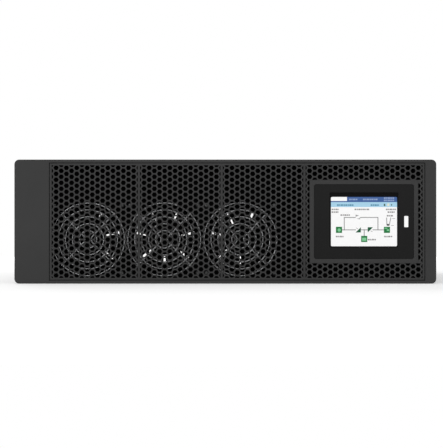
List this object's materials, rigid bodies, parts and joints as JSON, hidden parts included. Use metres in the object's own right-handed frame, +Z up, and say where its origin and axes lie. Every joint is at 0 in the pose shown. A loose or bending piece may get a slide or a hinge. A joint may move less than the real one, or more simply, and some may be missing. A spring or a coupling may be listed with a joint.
{
  "type": "rack-mount uninterruptible power supply",
  "caption": "Low, wide rack-mount power supply in dark grey and black, with a honeycomb front grille, fans behind it, a small lit colour display and connections at the rear.",
  "frame": {"origin": "floor level, in the middle of the overall box", "axes": "+X to the right as seen from the front, +Y to the rear, +Z up"},
  "size_m": [0.44, 0.64, 0.1294],
  "materials": {
    "bezel": "fine-textured dark grey moulding",
    "black_panel": "smooth black",
    "screen": "lit white screen",
    "light": "lit white light pipe",
    "chassis": "black powder coat",
    "fan_plastic": "black moulding",
    "wire": "bright nickel-plated wire",
    "fixings": "plated steel",
    "connector_black": "black moulding",
    "connector_grey": "grey moulding",
    "connector_green": "green moulding",
    "connector_metal": "plated shell"
  },
  "bodies": {
    "unit": {"bezel_frame": "bezel", "grille_bay_1": "bezel", "grille_bay_2": "bezel", "grille_bay_3": "bezel", "grille_bay_4": "bezel", "display_housing": "bezel", "display_panel": "black_panel", "lcd_screen": "screen", "status_light": "light", "top_cover": "chassis", "base_tray": "chassis", "fan_bulkhead": "chassis", "rear_panel": "chassis", "terminal_cover": "chassis", "battery_socket": "connector_grey", "input_breaker": "connector_grey", "breaker_toggle": "connector_black", "card_slot_cover": "chassis", "slot_thumbscrews": "fixings", "serial_port": "connector_metal", "usb_port": "connector_metal", "switch_terminal": "connector_green", "earth_stud": "fixings", "fan_guard_left": "wire", "fan_housing_left": "fan_plastic", "fan_guard_middle": "wire", "fan_housing_middle": "fan_plastic", "fan_guard_right": "wire", "fan_housing_right": "fan_plastic"},
    "rotor_left": {"fan_rotor_left": "fan_plastic"},
    "rotor_middle": {"fan_rotor_middle": "fan_plastic"},
    "rotor_right": {"fan_rotor_right": "fan_plastic"}
  },
  "joints": [
    {"name": "fan_left_spin", "type": "hinge", "parent": "unit", "child": "rotor_left", "pos_m": [-0.1448, -0.2713, 0.046], "axis": [0, 1, 0], "continuous": true},
    {"name": "fan_middle_spin", "type": "hinge", "parent": "unit", "child": "rotor_middle", "pos_m": [-0.0644, -0.2713, 0.046], "axis": [0, 1, 0], "continuous": true},
    {"name": "fan_right_spin", "type": "hinge", "parent": "unit", "child": "rotor_right", "pos_m": [0.016, -0.2713, 0.046], "axis": [0, 1, 0], "continuous": true}
  ]
}
